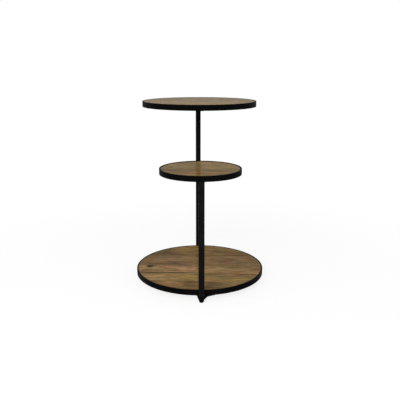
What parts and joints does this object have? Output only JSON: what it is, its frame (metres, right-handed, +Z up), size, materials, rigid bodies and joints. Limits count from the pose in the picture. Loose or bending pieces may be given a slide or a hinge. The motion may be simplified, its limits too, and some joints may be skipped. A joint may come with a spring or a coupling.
{
  "type": "tiered side table",
  "caption": "Round tiered side table: wooden shelves in black steel hoops, the upper ones cantilevered from opposite sides on square posts.",
  "frame": {"origin": "on the floor under the middle of the base tier", "axes": "+Z up, -Y towards the front post that carries the middle tier, +X to the right seen from the front"},
  "size_m": [0.4599, 0.506, 0.635],
  "materials": {
    "black_steel": "satin black powder coat on mild steel",
    "base_wood": "clear satin lacquer on brown mango wood",
    "middle_wood": "clear satin lacquer on brown mango wood",
    "top_wood": "clear satin lacquer on brown mango wood",
    "screws": "black zinc",
    "glides": "black nylon"
  },
  "bodies": {
    "root": {"base_hoop": "black_steel", "base_spine": "black_steel", "base_left_arm": "black_steel", "base_right_arm": "black_steel", "middle_hoop": "black_steel", "middle_spine": "black_steel", "middle_left_arm": "black_steel", "middle_right_arm": "black_steel", "top_hoop": "black_steel", "top_spine": "black_steel", "top_left_arm": "black_steel", "top_right_arm": "black_steel", "front_post": "black_steel", "back_post": "black_steel", "front_foot": "black_steel", "back_foot": "black_steel", "left_foot": "black_steel", "right_foot": "black_steel", "base_board_1": "base_wood", "base_board_2": "base_wood", "base_board_3": "base_wood", "base_board_4": "base_wood", "base_board_5": "base_wood", "middle_board_1": "middle_wood", "middle_board_2": "middle_wood", "middle_board_3": "middle_wood", "top_board_1": "top_wood", "top_board_2": "top_wood", "top_board_3": "top_wood", "top_board_4": "top_wood", "base_screws": "screws", "middle_screws": "screws", "top_screws": "screws", "front_glide": "glides", "back_glide": "glides", "left_glide": "glides", "right_glide": "glides"}
  },
  "joints": []
}
